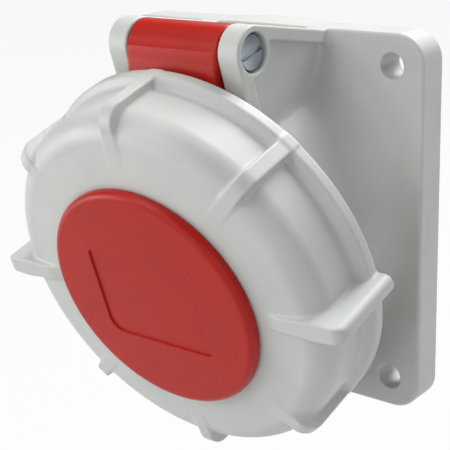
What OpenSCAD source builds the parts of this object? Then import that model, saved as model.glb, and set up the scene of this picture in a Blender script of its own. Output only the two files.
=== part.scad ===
// Inclined panel socket with a hinged lid and a bayonet ring.
// The rear face of the flange lies in the XZ plane, the front looks along -Y and +Z is up.
// Everything on the inclined neck is drawn in the neck's own frame: x across, y up the
// slope and z out along the neck's axis, measured from where that axis leaves the rear face.

/* [Flange] */
// Width of the flange
flange_w = 110; // [108:1:124]
// Height of the flange
flange_h = 114; // [112:1:130]
// Depth of the flange from its rear face to its front face
flange_t = 11; // [10:0.5:14]
// Radius of the flange corners
flange_r = 8.5; // [6:0.5:10]
// Rounding of the front edge
flange_edge_r = 1; // [0.4:0.2:1.6]
// Thickness of the flange's front wall and skirt
flange_wall = 4; // [3:0.25:5]
// Spacing of the fixing holes across
hole_pitch_x = 90; // [88:1:92]
// Spacing of the fixing holes up
hole_pitch_z = 95; // [93:1:97]
// Diameter of the fixing holes
hole_d = 7.4; // [5:0.1:8]
// Diameter of the bosses round the fixing holes
hole_boss_d = 15; // [12:0.5:16]
// Thickness of the gasket that sits in the rear rim
gasket_t = 2; // [1:0.25:3]
// Width of the gasket
gasket_w = 2; // [1.4:0.1:2.4]

/* [Neck] */
// Angle by which the neck looks down
tilt = 17; // [10:0.5:20]
// Height at which the neck's axis leaves the rear face
neck_z = 6; // [4:0.5:8]
// Outer radius of the neck
neck_r = 42; // [41:0.5:43]
// Wall of the neck
neck_wall = 3.5; // [3:0.25:4]
// Front end of the neck along its axis
neck_front = 56; // [55:0.5:57]
// Radius of the flare between the neck and the flange
flare_r = 12; // [8:0.5:12]
// Thickness at which the flare ends on the flange
flare_lip = 0.2; // [0.1:0.05:0.4]
// Width of the flange's wall that stays round the neck's seat
seat_land = 3; // [2:0.25:3.5]
// Outer radius of the bayonet lugs on the neck
neck_lug_r = 50; // [49.5:0.1:50.5]
// Length of those lugs along the axis
neck_lug_len = 4; // [3:0.5:5]
// Half the angle that a lug takes
lug_half_angle = 9; // [6:0.5:10]

/* [Hinge] */
// Distance of the hinge axis in front of the rear face
hinge_y = 46; // [45:0.5:47]
// Height of the hinge axis
hinge_z = 55; // [54.5:0.25:55.5]
// Distance of the ears' inner faces from the middle
ear_in = 16.5; // [15:0.5:18]
// Thickness of each ear
ear_t = 7; // [6.5:0.25:8]
// Radius of the ears' noses
ear_r = 7.5; // [7.25:0.05:7.8]
// Depth of the pocket in each ear's outer face
ear_pocket = 2.5; // [1:0.25:3.5]
// Height of the rib along the top of each ear
ear_top_rim = 4; // [3:0.25:5]
// Width of the rib along the front of each ear
ear_front_rim = 5; // [4:0.25:6]
// Radius of the hinge screw's shank
pin_r = 3; // [2.5:0.1:3.2]
// Running clearance round the shank
pin_gap = 0.08; // [0.05:0.01:0.1]
// Radius of the hinge screw's head
pin_head_r = 4.7; // [4:0.1:5]
// Thickness of that head
pin_head_t = 1.8; // [1.2:0.1:2.5]
// Depth of the head below the ear's outer face
pin_head_depth = 3; // [2:0.25:3.5]
// Wire diameter of the closing spring
spring_wire = 1.1; // [0.8:0.1:1.3]
// Turns of the closing spring
spring_turns = 9; // [5:1:12]

/* [Locking ring] */
// Rear end of the ring along the neck's axis
ring_rear = 41.5; // [41:0.25:42]
// Radius of the rim at the ring's rear
rim_r = 59; // [58:0.25:60]
// Width of the rim's outer band
rim_band = 3.7; // [3:0.1:5]
// Length of the bevel in front of the rim
rim_bevel = 2; // [1:0.1:3]
// Radius of the ring's body
ring_r = 56; // [55.5:0.1:56.5]
// Bore of the ring
ring_bore_r = 53.2; // [53:0.1:53.4]
// Rounding between the ring's body and its face
ring_edge_r = 8; // [6:0.25:9]
// Front of the ring at the end of that rounding
ring_front = 66.2; // [66:0.1:66.6]
// Amount by which the face rises towards its opening
face_rise = 1.1; // [0.6:0.1:1.4]
// Thickness of the ring's front wall
ring_face_t = 2.7; // [2.4:0.1:2.9]
// Inner radius of the ring's bayonet lugs
ring_lug_r = 47.2; // [46.2:0.25:47.7]
// Length of those lugs along the axis
ring_lug_len = 3.6; // [3:0.1:4]
// Turn between open and locked
lock_turn = 25; // [24:1:28]
// Angle of the grips from level
grip_turn = 2; // [0:1:4]
// Width of the six small ribs
rib_w = 4.7; // [3:0.1:6]
// Rounding of the ribs' front corners
rib_corner_r = 6; // [4:0.25:7]
// Radius at which the ribs run out on the face
rib_end_r = 52; // [50:0.5:53]
// Radius of the hollow curve at the ribs' feet
rib_foot_r = 1.6; // [0.6:0.1:2.2]
// Reach of the two wings from the axis
wing_reach = 63.8; // [62:0.2:66]
// Thickness of the wings
wing_t = 5; // [4:0.2:6]
// Rounding of the wings' outer corners in plan
wing_corner_r = 4; // [3:0.25:5]
// Swelling of each side of the wings over the ring's edge
wing_swell = 0.5; // [0:0.1:1]
// Radius of the hollow curve at the wings' feet
wing_foot_r = 2.2; // [1:0.1:2.6]
// Front edge of the wings along the axis
wing_front = 68; // [67.4:0.2:69]
// Radius from the axis at which the wings run out on the face
wing_inner = 39; // [38:0.5:44]

/* [Lid] */
// Radius of the lid's disc
lid_r = 52.4; // [52:0.1:52.6]
// Thickness of the lid's disc
lid_t = 3.2; // [3:0.1:3.4]
// Clearance between the lid and the ring's front wall
lid_gap = 0.3; // [0.2:0.05:0.4]
// Radius of the collar that the ring turns on
collar_r = 33.5; // [33:0.1:33.6]
// Half the width of the strap that joins the lid to the hinge
strap_half = 15.9; // [13:0.1:16]
// Thickness of the strap
strap_t = 2.2; // [1.8:0.1:2.6]
// Radius of the hinge barrel
barrel_r = 7.3; // [7:0.05:7.3]
// Radius of the seal's centre line
seal_r = 40.2; // [39.5:0.1:41]
// Width of the seal
seal_w = 4.4; // [3.5:0.1:4.8]
// Clearance between the seal and the neck
seal_gap = 0.3; // [0.2:0.05:0.4]

/* [Cap disc] */
// Radius of the cap disc
cap_r = 36; // [35.5:0.1:37]
// Height of the cap disc
cap_t = 3.2; // [2.8:0.1:4]
// Rounding of the cap disc's edge
cap_edge_r = 2.9; // [1:0.1:3]
// Clearance between the cap disc and the ring
cap_gap = 0.25; // [0.2:0.05:0.4]
// Width of the label recess
label_w = 38; // [30:1:42]
// Height of the label recess
label_h = 29; // [20:1:32]
// Depth of the label recess
label_depth = 0.8; // [0.3:0.1:1.2]
// Large corner radius of the label recess
label_r_big = 5; // [3:0.5:8]
// Small corner radius of the label recess
label_r_small = 1.5; // [0.5:0.25:3]

/* [Contacts] */
// Radius of the insert that carries the contacts
insert_r = 30; // [29:0.25:31]
// Front face of the insert along the axis
insert_front = 53; // [50:0.5:54]
// Radius of the circle on which the contacts sit
contact_circle_r = 18; // [17:0.25:19]
// Radius of the phase and neutral pins
contact_pin_r = 4; // [3.5:0.1:4.2]
// Radius of the earth pin
earth_pin_r = 5; // [4.2:0.1:5.2]
// Radius of the pilot pin
pilot_pin_r = 2.5; // [2:0.1:2.8]
// Wall of the contact sleeves
sleeve_wall = 1.5; // [1:0.1:1.8]
// Clearance between a pin and its sleeve
contact_gap = 0.08; // [0.05:0.01:0.15]
// Depth of the sleeves below the insert's face
sleeve_recess = 1.5; // [1:0.25:3]
// Radius of the terminal block behind the insert
block_r = 33; // [32:0.25:34]
// Rear end of the terminal block along the axis
block_rear = -24; // [-30:1:-22]
// Radius of the terminal screws
terminal_screw_r = 2.5; // [2:0.1:2.8]
// Thickness of the insert's base plate
base_t = 3; // [2.5:0.25:3.5]
// Thickness of the seal under the base plate
base_seal_t = 1; // [0.8:0.1:1.4]
// Clearance between the base plate and the flange's skirt
base_clear = 2.1; // [1.5:0.1:3]
// Radius of the core that carries the pilot contact
core_r = 8; // [7:0.25:9]
// Radial width of the clip that holds the contact blocks in the base plate
clip_w = 2.5; // [2:0.25:4]
// Thickness of that clip
clip_t = 1.2; // [0.8:0.1:1.6]
// Radius of the screws that hold the base plate
carrier_screw_r = 1.5; // [1.25:0.05:1.5]
// Radius of their heads
carrier_head_r = 2.8; // [2.5:0.1:3]

/* [Hidden] */
$fn = 96;
eps = 0.01;
light_grey = [0.80, 0.81, 0.80];
signal_red = [0.70, 0.20, 0.16];
insert_grey = [0.22, 0.23, 0.24];
seal_black = [0.10, 0.10, 0.10];
plated = [0.55, 0.58, 0.60];

// hinge axis and plate edge in the neck's frame
hinge_s = hinge_y * cos(tilt) - (hinge_z - neck_z) * sin(tilt);
hinge_u = hinge_y * sin(tilt) + (hinge_z - neck_z) * cos(tilt);
neck_bore_r = neck_r - neck_wall;
ear_out = ear_in + ear_t;
fit_gap = 0.1;
side_gap = 0.3;
barrel_half = ear_in - side_gap;

// bayonet: where the neck's lugs sit, and the ring's lugs while the ring is open
lug_count = 3;
neck_lug_at = 5;
neck_lug_rear = ring_rear + ring_lug_len + 2;

// lid stack, from the ring's front wall backwards
ring_inside = ring_front - ring_face_t;
lid_front = ring_inside - lid_gap;
lid_rear = lid_front - lid_t;
ring_face = ring_front + face_rise;
ring_opening_r = collar_r + lid_gap;
ring_inner_fillet = ring_bore_r - lid_r;
ring_split = ring_front - ring_edge_r;
cap_rear = ring_face + cap_gap;
cap_front = cap_rear + cap_t;
seal_lip = 1.3;
seal_wall_rear = neck_front + seal_gap + 1.3;
cap_screw_circle_r = 20;
cap_screw_r = 1.5;
cap_boss_r = 3.6;

// the neck's seat in the flange and its foot
wall_rear = flange_t - flange_wall;
foot_z = neck_z - (flange_t + flare_r / 2) * tan(tilt);
foot_r = neck_r + flare_r - sqrt(2 * flare_r * flare_lip);
seat_r = min(flange_w, flange_h) / 2 - flange_wall - seat_land;

// base plate, in the hollow of the flange
base_front_y = wall_rear - base_seal_t;
base_rear_y = base_front_y - base_t;
base_z = neck_z - wall_rear * tan(tilt);
base_r = min(flange_w / 2, flange_h / 2 - base_z) - flange_wall - base_clear;
base_screw_circle_r = base_r - carrier_head_r - 0.8;
screw_angles = [45, 135, 225, 315];
screw_head_t = 1.6;
screw_hole_gap = 0.2;
thread_gap = 0.05;

// the contacts' angles round the insert, and how far their parts reach
earth_angle = -90;
contact_count = 5;
contact_step = 360 / contact_count;
contact_rear = block_rear + 4;
sleeve_front = insert_front - sleeve_recess;
block_front = sleeve_front + fit_gap;
pin_stop = 10;
mouth_gap = 0.4;
key_w = 6;
key_depth = 2;
key_rear = 12;
wire_bore_r = 3.4;
terminal_s = block_rear + 11;
terminal_screw_tip = 2.6;
terminal_sunk = 3;

// ---------- frames and small shapes ----------

module on_neck() {
    translate([0, 0, neck_z]) rotate([90 + tilt, 0, 0]) children();
}

// extrudes an outline drawn in the YZ plane from x = from to x = to
module across(from, to) {
    translate([from, 0, 0]) rotate([90, 0, 90]) linear_extrude(to - from) children();
}

// extrudes an outline, drawn as width by height, backwards from the depth given as front
module from_front(front, depth) {
    translate([0, -front + depth, 0]) rotate([90, 0, 0]) linear_extrude(depth) children();
}

module rounded_square(w, h, r) {
    square([w - 2 * r, h], center = true);
    square([w, h - 2 * r], center = true);
    for (x = [-1, 1], y = [-1, 1]) translate([x * (w / 2 - r), y * (h / 2 - r)]) circle(r);
}

// section of a plate that stands on its lower edge, with both upper corners rounded
module rounded_section(len, t, edge) {
    translate([-len / 2, 0]) square([len, t - edge]);
    translate([-len / 2 + edge, 0]) square([len - 2 * edge, t]);
    for (x = [-1, 1]) translate([x * (len / 2 - edge), t - edge]) circle(edge, $fn = 32);
}

// a plate that stands on z = 0, with its upper edge rounded
module edge_rounded_plate(w, h, t, r, edge) {
    rotate([90, 0, 90]) linear_extrude(w - 2 * r, center = true) rounded_section(h, t, edge);
    rotate([90, 0, 0]) linear_extrude(h - 2 * r, center = true) rounded_section(w, t, edge);
    for (x = [-1, 1], y = [-1, 1]) translate([x * (w / 2 - r), y * (h / 2 - r)])
        rotate_extrude() intersection() {
            rounded_section(2 * r, t, edge);
            square([r, t]);
        }
}

// a rounded square with large radii at two opposite corners and small ones at the others
module leaf_outline(w, h, big, small) {
    function corner(i) = i % 2 == 0 ? big : small;
    difference() {
        square([w, h], center = true);
        for (i = [0:3]) {
            x = (i == 0 || i == 3) ? 1 : -1;
            y = i < 2 ? 1 : -1;
            r = corner(i);
            difference() {
                translate([x * w / 2, y * h / 2]) square(2 * r, center = true);
                translate([x * (w / 2 - r), y * (h / 2 - r)]) circle(r, $fn = 48);
            }
        }
    }
}

module tube(outer, inner, from, to) {
    translate([0, 0, from]) difference() {
        cylinder(r = outer, h = to - from);
        translate([0, 0, -eps]) cylinder(r = inner, h = to - from + 2 * eps);
    }
}

// a piece of a tube between two radii, from angle a - half to a + half
module tube_sector(outer, inner, from, to, a, half) {
    translate([0, 0, from]) rotate([0, 0, a - half])
        rotate_extrude(angle = 2 * half) translate([inner, 0]) square([outer - inner, to - from]);
}

module round_bar(r, from, to) {
    translate([from, -hinge_y, hinge_z]) rotate([0, 90, 0]) cylinder(r = r, h = to - from);
}

// where the line from point p just touches the circle c, r on its upper side
function touch_point(p, c, r) =
    let (d = norm(c - p), along = atan2(c.y - p.y, c.x - p.x) - asin(r / d), len = sqrt(d * d - r * r))
    p + len * [cos(along), sin(along)];

// ---------- housing ----------

hinge_c = [-hinge_y, hinge_z];
slope_out = [-cos(tilt), -sin(tilt)];
slope_up = [-sin(tilt), cos(tilt)];
ear_top_rear = [-flange_t, flange_h / 2 - flange_edge_r / 2];
ear_top_front = touch_point(ear_top_rear, hinge_c, ear_r);
ear_front_top = hinge_c + ear_r * slope_out;
ear_drop = hinge_u - neck_bore_r;
ear_foot_z = neck_z + neck_bore_r - 8;
nut_r = 5;
nut_t = 1.8;
nut_room = 0.4;
head_room = 0.9;
spring_r = (barrel_r + pin_r) / 2;

module ear_outline() {
    translate(hinge_c) circle(ear_r);
    polygon([ear_top_rear, ear_top_front, hinge_c, ear_front_top, ear_front_top - ear_drop * slope_up,
             [-flange_t, ear_foot_z]]);
}

// the hollow in an ear's outer face, inside its top and front ribs
module ear_pocket_outline() {
    top_dir = (ear_top_front - ear_top_rear) / norm(ear_top_front - ear_top_rear);
    down = [top_dir.y, -top_dir.x] * (top_dir.x < 0 ? -1 : 1);
    front = ear_front_top - ear_front_rim * slope_out;
    difference() {
        polygon([ear_top_rear + ear_top_rim * down - top_dir, ear_top_front + ear_top_rim * down, front,
                 front - ear_drop * slope_up, [-flange_t + 1, ear_foot_z]]);
        translate(hinge_c) circle(ear_r - 0.3);
    }
}

// the neck's seat in the flange, and the flare that stands on the flange's front
module neck_foot() {
    translate([0, 0, foot_z]) rotate([90, 0, 0]) {
        translate([0, 0, wall_rear]) cylinder(r = seat_r, h = flange_wall);
        rotate_extrude() difference() {
            translate([0, flange_t]) square([foot_r, flare_r]);
            translate([neck_r + flare_r, flange_t + flare_r]) circle(flare_r);
        }
    }
}

module fixing_holes() {
    for (x = [-1, 1], z = [-1, 1]) translate([x * hole_pitch_x / 2, 1, z * hole_pitch_z / 2])
        rotate([90, 0, 0]) children();
}

module gasket_outline() {
    inset = (flange_wall - gasket_w) / 2;
    difference() {
        rounded_square(flange_w - 2 * inset, flange_h - 2 * inset, flange_r - inset);
        rounded_square(flange_w - 2 * (inset + gasket_w), flange_h - 2 * (inset + gasket_w),
                       flange_r - inset - gasket_w);
    }
}

module base_screw_places() {
    for (a = screw_angles)
        translate([base_screw_circle_r * cos(a), 0, base_z + base_screw_circle_r * sin(a)])
            rotate([90, 0, 0]) children();
}

// the inclined tube with its foot
module housing() color(light_grey) difference() {
    union() {
        neck_foot();
        difference() {
            on_neck() cylinder(r = neck_r, h = neck_front);
            // nothing of the neck behind the flange's front wall
            translate([-neck_r * 2, -wall_rear, -neck_r * 2]) cube(neck_r * 4);
        }
    }
    on_neck() translate([0, 0, -neck_r]) cylinder(r = neck_bore_r, h = neck_front + neck_r + 1);
    base_screw_places() translate([0, 0, wall_rear - 1])
        cylinder(r = carrier_screw_r + thread_gap, h = flange_wall + 0.6);
}

// the square plate with its skirt and the bosses of the fixing holes
module flange() color(light_grey) difference() {
    rotate([90, 0, 0]) edge_rounded_plate(flange_w, flange_h, flange_t, flange_r, flange_edge_r);
    difference() {
        from_front(wall_rear, wall_rear + 1)
            rounded_square(flange_w - 2 * flange_wall, flange_h - 2 * flange_wall, flange_r - flange_wall);
        fixing_holes() cylinder(d = hole_boss_d, h = flange_t);
    }
    translate([0, 0, foot_z]) from_front(flange_t + 1, flange_t) circle(seat_r);
    fixing_holes() cylinder(d = hole_d, h = flange_t + 2);
    from_front(gasket_t, gasket_t + 1) gasket_outline();
}

// the hinge screw's hole, its head's seat on the right and the nut's on the left
module hinge_holes() {
    round_bar(pin_r + pin_gap, -ear_out - 1, ear_out + 1);
    round_bar(pin_head_r + head_room, ear_out - pin_head_depth - pin_head_t, ear_out + 1);
    round_bar(nut_r + nut_room, -ear_out - 1, -ear_out + pin_head_depth + nut_t);
}

module hinge_ears() color(light_grey) difference() {
    for (side = [0, 1]) mirror([side, 0, 0]) difference() {
        across(ear_in, ear_out) ear_outline();
        across(ear_out - ear_pocket, ear_out + 1) ear_pocket_outline();
    }
    neck_foot();
    on_neck() cylinder(r = neck_r, h = neck_front);
    hinge_holes();
}

module neck_lugs() color(light_grey) on_neck() for (i = [0:lug_count - 1])
    tube_sector(neck_lug_r, neck_r, neck_lug_rear, neck_lug_rear + neck_lug_len,
                neck_lug_at + i * 360 / lug_count, lug_half_angle + 1);

module flange_gasket() color(seal_black)
    from_front(gasket_t, gasket_t) gasket_outline();

// ---------- contacts and what carries them ----------

module at_contact(i) {
    on_neck() rotate([0, 0, earth_angle + i * contact_step]) children();
}

function pin_of(i) = i == 0 ? earth_pin_r : contact_pin_r;

module base_slab(front_y, t, r) {
    translate([0, 0, base_z]) from_front(front_y, t) circle(r);
}

// hole for a terminal screw, from the given radius outwards
module terminal_hole(from) {
    translate([from, 0, terminal_s]) rotate([0, 90, 0])
        cylinder(r = terminal_screw_r + mouth_gap, h = block_r);
}

module pilot_terminal_hole() {
    on_neck() rotate([0, 0, 90]) terminal_hole(pilot_pin_r);
}

// outline of one of the blocks, from the core out to the radius r
module block_outline(r) {
    apex = fit_gap / (2 * sin(contact_step / 2));
    reach = 2 * block_r;
    side = reach * tan(contact_step / 2);
    intersection() {
        difference() {
            circle(r);
            circle(core_r + fit_gap / 2);
        }
        polygon([[apex, 0], [apex + reach, side], [apex + reach, -side]]);
    }
}

// one block stands through the base plate, and its wider rear end bears on the plate from behind
module contact_block(i) difference() {
    union() {
        at_contact(i) translate([0, 0, block_rear]) linear_extrude(block_front - block_rear)
            block_outline(insert_r);
        intersection() {
            at_contact(i) translate([0, 0, block_rear]) linear_extrude(-block_rear + base_r)
                block_outline(block_r);
            translate([-block_r * 2, -base_rear_y, -block_r * 2]) cube(block_r * 4);
        }
    }
    at_contact(i) {
        translate([contact_circle_r, 0, block_rear - 1])
            cylinder(r = pin_of(i) + sleeve_wall + fit_gap, h = block_front - block_rear + 2);
        terminal_hole(contact_circle_r + 3);
        if (i == 0) key_slot();
    }
    pilot_terminal_hole();
}

module contact_blocks() color(insert_grey) for (i = [0:contact_count - 1]) contact_block(i);

module pilot_block() color(insert_grey) difference() {
    on_neck() tube(core_r, pilot_pin_r + sleeve_wall + fit_gap, block_rear, block_front);
    pilot_terminal_hole();
}

// keyway for the plug, below the earth contact
module key_slot() {
    translate([insert_r - key_depth, -key_w / 2, key_rear]) cube([key_depth * 2, key_w, insert_front]);
}

module insert_face() color(insert_grey) difference() {
    on_neck() translate([0, 0, block_front]) cylinder(r = insert_r, h = insert_front - block_front);
    for (i = [0:contact_count - 1]) at_contact(i) translate([contact_circle_r, 0, 0])
        cylinder(r = pin_of(i) + mouth_gap, h = insert_front + 1);
    on_neck() cylinder(r = pilot_pin_r + mouth_gap, h = insert_front + 1);
    at_contact(0) key_slot();
}

module insert_clip() color(plated) intersection() {
    on_neck() tube(insert_r + clip_w, insert_r, -block_r, block_r);
    base_slab(base_front_y + clip_t, clip_t, base_r);
}

module sleeve(pin) {
    difference() {
        translate([0, 0, contact_rear]) cylinder(r = pin + sleeve_wall, h = sleeve_front - contact_rear);
        translate([0, 0, pin_stop]) cylinder(r = pin + contact_gap, h = insert_front);
        translate([0, 0, contact_rear - 1]) cylinder(r = min(wire_bore_r, pin), h = -contact_rear - 1);
        translate([0, 0, terminal_s]) rotate([0, 90, 0])
            cylinder(r = terminal_screw_r + thread_gap, h = 2 * (pin + sleeve_wall));
    }
}

module contact(i) {
    color("goldenrod") at_contact(i) translate([contact_circle_r, 0, 0]) sleeve(pin_of(i));
}

module contact_earth() { contact(0); }
module contact_l1() { contact(1); }
module contact_l2() { contact(2); }
module contact_l3() { contact(3); }
module contact_neutral() { contact(4); }
module contact_pilot() { color("goldenrod") on_neck() rotate([0, 0, 90]) sleeve(pilot_pin_r); }

// a screw along x whose tip is at the given radius and whose slotted end is sunk in the block
module terminal_screw(tip) {
    len = block_r - terminal_sunk - tip;
    slot = 1;
    translate([tip, 0, terminal_s]) rotate([0, 90, 0]) difference() {
        cylinder(r = terminal_screw_r, h = len);
        translate([-terminal_screw_r - 1, -slot / 2, len - slot])
            cube([2 * terminal_screw_r + 2, slot, 2 * slot]);
    }
}

module terminal_screws() color("silver") {
    for (i = [0:contact_count - 1]) at_contact(i) terminal_screw(contact_circle_r + terminal_screw_tip);
    on_neck() rotate([0, 0, 90]) terminal_screw(0.7 * pilot_pin_r);
}

module base_plate() color(insert_grey) difference() {
    base_slab(base_front_y, base_t, base_r);
    on_neck() translate([0, 0, -insert_r]) cylinder(r = insert_r + fit_gap, h = 2 * insert_r);
    base_screw_places() cylinder(r = carrier_screw_r + screw_hole_gap, h = flange_t);
}

module base_seal() color(seal_black) difference() {
    base_slab(wall_rear, base_seal_t, base_r);
    base_slab(wall_rear + 1, base_seal_t + 2, neck_bore_r + 2);
    base_screw_places() cylinder(r = carrier_screw_r + screw_hole_gap, h = flange_t);
}

module base_screws() color("silver") base_screw_places() {
    translate([0, 0, base_rear_y - screw_head_t]) cylinder(r = carrier_head_r, h = screw_head_t);
    translate([0, 0, base_rear_y - eps]) cylinder(r = carrier_screw_r, h = flange_t - 0.6 - base_rear_y);
}

// ---------- hinge ----------

module hinge_screw() color(plated) difference() {
    head_in = ear_out - pin_head_depth - pin_head_t;
    union() {
        round_bar(pin_head_r, head_in, head_in + pin_head_t);
        round_bar(pin_r, -ear_out + pin_head_depth, head_in + eps);
    }
    translate([head_in + pin_head_t, -hinge_y, hinge_z]) rotate([-40, 0, 0])
        cube([1.6, 2 * pin_head_r + 2, 1.5], center = true);
}

module hinge_nut() color(plated) difference() {
    translate([-ear_out + pin_head_depth, -hinge_y, hinge_z]) rotate([0, 90, 0])
        cylinder(r = nut_r, h = nut_t, $fn = 6);
    round_bar(pin_r, -ear_out, -ear_in);
}

// the spring's wire, swept along its coil with a straight tail at each end
function coil_point(k, steps) = let (a = 360 * spring_turns * k / steps)
    [lerp(-ear_in + 1.5, strap_half - 4, k / steps), spring_r * cos(a), spring_r * sin(a)];
function lerp(a, b, k) = a + (b - a) * k;

module hinge_spring() color("dimgray") {
    steps = 14 * spring_turns;
    sides = 8;
    wire = spring_wire / 2;
    points = [for (k = [0:steps]) let (p = coil_point(k, steps), a = 360 * spring_turns * k / steps)
        for (j = [0:sides - 1]) let (b = 360 * j / sides)
            [p.x + wire * sin(b), p.y + wire * cos(b) * cos(a), p.z + wire * cos(b) * sin(a)]];
    faces = [for (k = [0:steps - 1], j = [0:sides - 1]) let (n = (j + 1) % sides)
        [k * sides + j, k * sides + n, (k + 1) * sides + n, (k + 1) * sides + j]];
    ends = [[for (j = [sides - 1:-1:0]) j], [for (j = [0:sides - 1]) steps * sides + j]];
    translate([0, -hinge_y, hinge_z]) polyhedron(points, concat(faces, ends));
}

// ---------- lid ----------

// section of the strap and its root on the barrel, as (out along the axis, up the slope)
module strap_outline() {
    back = ring_rear - 1.2;
    polygon([[hinge_s - 1, hinge_u - barrel_r + 0.6], [hinge_s + 4.4, hinge_u - barrel_r + 0.4],
             [back - strap_t - 0.4, lid_r - strap_t - 4], [back, lid_r - strap_t - 4], [back, lid_r],
             [back - 0.7, lid_r + 3], [hinge_s + barrel_r - 0.1, hinge_u + 2.9], [hinge_s, hinge_u + 5]]);
}

module lid() color(signal_red) difference() {
    union() {
        on_neck() {
            translate([0, 0, lid_rear]) cylinder(r = lid_r, h = lid_t);
            tube(collar_r, collar_r - 3.3, lid_front - eps, ring_face - 0.3);
            tube(seal_r + seal_w / 2 + fit_gap + seal_lip, seal_r + seal_w / 2 + fit_gap, seal_wall_rear, lid_rear + eps);
            tube(seal_r - seal_w / 2 - fit_gap, seal_r - seal_w / 2 - fit_gap - seal_lip, seal_wall_rear, lid_rear + eps);
            intersection() {
                tube(lid_r - 0.1, lid_r - strap_t, ring_rear - 3, lid_front - 0.5);
                translate([-strap_half, 0, 0]) cube([2 * strap_half, rim_r, ring_front]);
            }
            rotate([0, -90, 0]) translate([0, 0, -strap_half]) linear_extrude(2 * strap_half) strap_outline();
        }
        round_bar(barrel_r, -barrel_half, barrel_half);
    }
    round_bar(pin_r + pin_gap, -barrel_half - 1, barrel_half + 1);
    round_bar(spring_r + spring_wire, -barrel_half - 1, barrel_half - 3);
    on_neck() for (a = screw_angles) rotate([0, 0, a]) translate([cap_screw_circle_r, 0, lid_rear - 1])
        cylinder(r = cap_screw_r + 0.2, h = lid_t + 2);
}

module lid_seal() color(seal_black) on_neck()
    tube(seal_r + seal_w / 2, seal_r - seal_w / 2, neck_front + seal_gap, lid_rear - eps);

module cap_disc() color(signal_red) on_neck() difference() {
    union() {
        rotate_extrude() {
            translate([0, cap_rear]) square([cap_r - cap_edge_r, cap_t]);
            translate([0, cap_rear]) square([cap_r, cap_t - cap_edge_r]);
            intersection() {
                translate([cap_r - cap_edge_r, cap_front - cap_edge_r]) circle(cap_edge_r);
                translate([0, cap_rear]) square([cap_r, cap_t]);
            }
        }
        for (a = screw_angles) rotate([0, 0, a]) translate([cap_screw_circle_r, 0, lid_front])
            cylinder(r = cap_boss_r, h = cap_rear - lid_front + eps);
    }
    translate([0, 0, cap_front - label_depth]) linear_extrude(label_depth + 1)
        leaf_outline(label_w, label_h, label_r_big, label_r_small);
    for (a = screw_angles) rotate([0, 0, a]) translate([cap_screw_circle_r, 0, lid_front - 1])
        cylinder(r = cap_screw_r, h = cap_rear - lid_front + 2);
}

module cap_screws() color("silver") on_neck()
    for (a = screw_angles) rotate([0, 0, a]) translate([cap_screw_circle_r, 0, 0]) {
        translate([0, 0, lid_rear - 1.5]) cylinder(r = 2.9, h = 1.5);
        translate([0, 0, lid_rear - eps]) cylinder(r = cap_screw_r - 0.02, h = cap_rear - lid_rear);
    }

// ---------- locking ring ----------

// section of the ring's outside, as (radius, out along the axis)
module ring_outside() {
    edge_c = [ring_r - ring_edge_r, ring_front - ring_edge_r];
    polygon([[0, ring_rear], [rim_r, ring_rear], [rim_r, ring_rear + rim_band],
             [ring_r - 0.2, ring_rear + rim_band + rim_bevel], [ring_r, edge_c.y], edge_c,
             [edge_c.x, ring_front], [cap_r + 1, ring_face], [0, ring_face]]);
    translate(edge_c) circle(ring_edge_r);
}

// side view of a rib, from the rim to where it runs out on the face
module rib_side() {
    corner_c = [rim_r - rib_corner_r, ring_front - rib_corner_r];
    polygon([[ring_bore_r - 1, ring_rear], [rim_r, ring_rear], [rim_r, corner_c.y], corner_c,
             [corner_c.x, ring_front], [rib_end_r - 2, ring_front - 0.5], [rib_end_r - 2, ring_inside]]);
    intersection() {
        translate(corner_c) circle(rib_corner_r);
        translate(corner_c) square(rib_corner_r);
    }
}

// outline of a bar across the ring, with a hollow curve on each side where it leaves the body
module footed_bar(half, foot_r, reach) {
    translate([0, -half]) square([reach, 2 * half]);
    for (y = [0, 1]) mirror([0, y, 0]) difference() {
        translate([ring_bore_r, 0]) square([ring_r - ring_bore_r + foot_r, half + foot_r]);
        translate([ring_r + foot_r, half + foot_r]) circle(foot_r, $fn = 48);
    }
}

module rib() {
    intersection() {
        translate([0, 0, ring_rear]) linear_extrude(ring_front - ring_rear)
            footed_bar(rib_w / 2, rib_foot_r, rim_r + 1);
        rotate([90, 0, 0]) linear_extrude(rib_w + 4 * rib_foot_r, center = true) rib_side();
    }
}

// plan of a wing: straight front edge, rounded outer corner
module wing_plan() {
    corner_c = [wing_reach - wing_corner_r, wing_front - wing_corner_r];
    translate([ring_bore_r - 1, ring_rear]) square([wing_reach - ring_bore_r + 1, corner_c.y - ring_rear]);
    polygon([[wing_inner, ring_face - 0.5], [wing_inner + 2, wing_front], [corner_c.x, wing_front],
             corner_c, [wing_reach, corner_c.y], [ring_bore_r, corner_c.y - 1], [ring_bore_r, ring_inside],
             [wing_inner, ring_inside]]);
    translate(corner_c) circle(wing_corner_r);
}

// one wing: a blade with a round nose, footed on the body
module wing() {
    nose = wing_t / 2;
    intersection() {
        union() {
            translate([0, 0, ring_rear]) linear_extrude(wing_front - ring_rear) {
                polygon([[wing_inner - 1, -nose], [ring_r - 2, -nose - wing_swell], [wing_reach - nose, -nose],
                         [wing_reach - nose, nose], [ring_r - 2, nose + wing_swell], [wing_inner - 1, nose]]);
                translate([wing_reach - nose, 0]) circle(nose, $fn = 48);
            }
            translate([0, 0, ring_rear]) linear_extrude(ring_front - ring_edge_r - ring_rear + 2)
                footed_bar(nose, wing_foot_r, ring_r + wing_foot_r);
        }
        rotate([90, 0, 0]) linear_extrude(wing_t + 4 * wing_foot_r, center = true) wing_plan();
    }
}

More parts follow.
